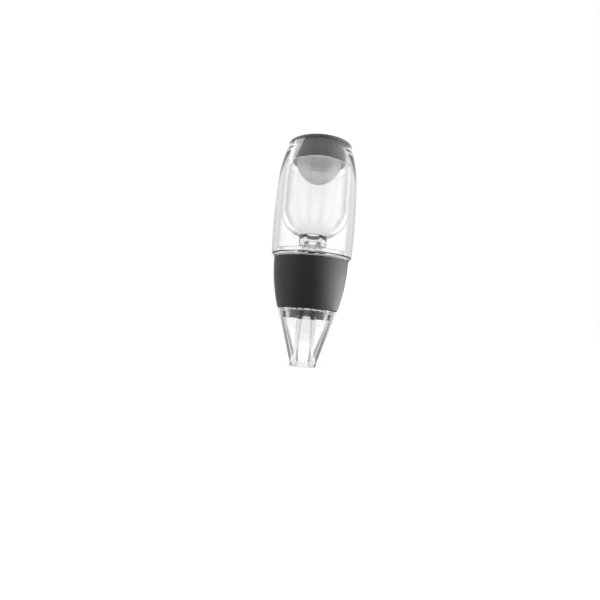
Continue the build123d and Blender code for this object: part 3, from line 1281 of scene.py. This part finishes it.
def lightPath(graph):
    return [rayKind(graph, kind) for kind in ("Is Camera Ray", "Is Glossy Ray", "Is Transmission Ray")]


def facing(graph, heading, thing):
    # 1 where heading points at the thing, fading to 0 round it
    aim = tuple(Vector(thing["aim"]).normalized())
    dot = graph.add("ShaderNodeVectorMath", {"operation": "DOT_PRODUCT"}, {0: heading, 1: aim}, "Value")
    return dot.ease(*thing["spread"])


def boxLight(graph, heading, thing):
    return thing["strength"] * facing(graph, heading, thing)


def frontShade(graph, heading):
    return 1 - darkFront["depth"] * facing(graph, heading, darkFront)


def matteMirror(graph, share):
    # 1 for a ray off a satin or matte surface, but a share off a polished one, whose edges it would bleach
    return 1 - (1 - share) * rayKind(graph, "Is Singular Ray")


def paintedCardsAt(graph, place, far):
    # painted grey-card shade: dark sectors all round the object, painted where sideways refracted rays end,
    # and a ray that crossed one wall only, edge on, finds painted grey anywhere
    size = paintedGreyCards
    x = graph.add("ShaderNodeSeparateXYZ", None, {0: place}, 0)
    y = graph.add("ShaderNodeSeparateXYZ", None, {0: place}, 1)
    turn = x.maths("ARCTAN2", x, y)
    cardShade = (0.5 - 0.5 * turn.maths("COSINE", turn * size["count"])).ease(*size["edge"])
    crossed = rayKind(graph, "Transmission Depth")
    edgeOn = crossed.maths("LESS_THAN", crossed, size["oneWall"])
    card = size["nearDepth"] + (size["farDepth"] - size["nearDepth"]) * far
    edge = size["nearEdge"] + (size["farEdge"] - size["nearEdge"]) * far
    return (cardShade * card).most(edgeOn * edge)


def grey(tone):
    return (tone, tone, tone, 1)


def makeFloor():
    half = room["floorHalf"]
    height = room["floorHeight"] * mm
    corners = [(x * half, y * half, height) for x, y in ((-1, -1), (1, -1), (1, 1), (-1, 1))]
    mesh = bpy.data.meshes.new("floor")
    mesh.from_pydata(corners, [], [(0, 1, 2, 3)])
    floor = bpy.data.objects.new("floor", mesh)
    bpy.context.scene.collection.objects.link(floor)
    material, graph = startFinish("floorPaper")
    camera, glossy, clear = lightPath(graph)
    mirror = glossy * (1 - clear)
    place = graph.add("ShaderNodeTexCoord", None, None, "Object")
    away = graph.add("ShaderNodeVectorMath", {"operation": "LENGTH"}, {0: place}, "Value")
    heading = graph.add("ShaderNodeVectorMath", {"operation": "NORMALIZE"}, {0: place}, "Vector")
    plain, dark, matte = (
        graph.add("ShaderNodeBsdfDiffuse", None, {"Color": grey(room[tone])})
        for tone in ("paperTone", "paintedCardTone", "floorTone")
    )
    # painted soft-box glow: the floor glows in box shapes for reflections off satin surfaces, though it is
    # no lamp
    beyond = away.ease(*nearBox["end"])
    nearLit = boxLight(graph, heading, nearBox) * away.ease(*nearBox["start"]) * (1 - beyond)
    farLit = boxLight(graph, heading, lowBox) * beyond
    lit = mirror * matteMirror(graph, lowBox["polished"]) * (nearLit + farLit)
    near, far = room["floorGlowNear"], room["floorGlowFar"]
    strength = near + (far - near) * away.ease(*room["glowSpread"])
    glow = graph.add("ShaderNodeEmission", None, {"Color": grey(1), "Strength": strength})
    paintedGlare = graph.add("ShaderNodeEmission", None, {"Color": grey(1), "Strength": lit})
    pale = graph.add("ShaderNodeAddShader", None, {0: matte, 1: glow})
    # painted grey-card shade on the floor, seen only by refracted rays
    cardShade = clear * paintedCardsAt(graph, place, away.ease(*paintedGreyCards["nearEnd"])) * away.ease(*paintedGreyCards["start"])
    lower = room["reflectedLow"] * frontShade(graph, heading)
    shade = (1 - camera) * (cardShade + mirror * (1 - lower))
    shaded = graph.add("ShaderNodeMixShader", None, {0: shade, 1: pale, 2: dark})
    shaded = graph.add("ShaderNodeAddShader", None, {0: shaded, 1: paintedGlare})
    # diffuse rays see plain paper, so the glow and the boxes add no light to the object
    shown = camera.most(glossy.most(clear))
    endFinish(graph, graph.add("ShaderNodeMixShader", None, {0: shown, 1: plain, 2: shaded}))
    mesh.materials.append(material)


def makeWorld():
    world = bpy.data.worlds.new("paleRoom")
    world.use_nodes = True
    world.node_tree.nodes.clear()
    graph = Graph(world.node_tree)
    camera, glossy, clear = lightPath(graph)
    heading = graph.add("ShaderNodeTexCoord", None, None, "Generated")
    height = graph.add("ShaderNodeSeparateXYZ", None, {0: heading}, 2)
    # painted grey-card shade in the background, seen only by refracted rays
    through = 1 - paintedCardsAt(graph, heading, 1.0)
    low, high = room["reflectedLow"], room["reflectedHigh"]
    mirrored = low + (high - low) * height.ease(*room["reflectedSpread"])
    leftLit = boxLight(graph, heading, leftBox)
    rightLit = boxLight(graph, heading, rightBox) * matteMirror(graph, rightBox["polished"])
    lowLit = boxLight(graph, heading, lowBox) * (1 - height.ease(*lowBox["top"]))
    lowLit = lowLit * matteMirror(graph, lowBox["polished"])
    mirrored = mirrored * frontShade(graph, heading) + leftLit + rightLit + lowLit
    strength = camera + (1 - camera) * (clear * through + (1 - clear) * glossy * mirrored)
    strength = strength + (1 - camera.most(glossy.most(clear))) * room["ambient"]
    light = graph.add("ShaderNodeBackground", None, {"Color": grey(1), "Strength": strength})
    graph.add("ShaderNodeOutputWorld", None, {"Surface": light})
    bpy.context.scene.world = world


lampAim = (0, 0, 0.08)
lamps = {
    "keyLamp": {"place": (-0.55, -0.55, 0.75), "size": 0.7, "power": 6.0},
    "sideLamp": {"place": (0.75, 0.25, 0.35), "size": 0.6, "power": 5.0},
    "topLamp": {"place": (0.0, 0.1, 1.0), "size": 0.8, "power": 5.0},
}


def makeLamps():
    for name, lamp in lamps.items():
        light = bpy.data.lights.new(name, "AREA")
        light.shape = "SQUARE"
        light.size = lamp["size"]
        light.energy = lamp["power"]
        holder = bpy.data.objects.new(name, light)
        turn = (Vector(lampAim) - Vector(lamp["place"])).to_track_quat("-Z", "Y")
        holder.matrix_world = Matrix.Translation(lamp["place"]) @ turn.to_matrix().to_4x4()
        holder.visible_glossy = False
        holder.visible_transmission = False
        bpy.context.scene.collection.objects.link(holder)


makeFloor()
makeWorld()
makeLamps()
bpy.context.scene.view_settings.view_transform = "Standard"
print("room lit")
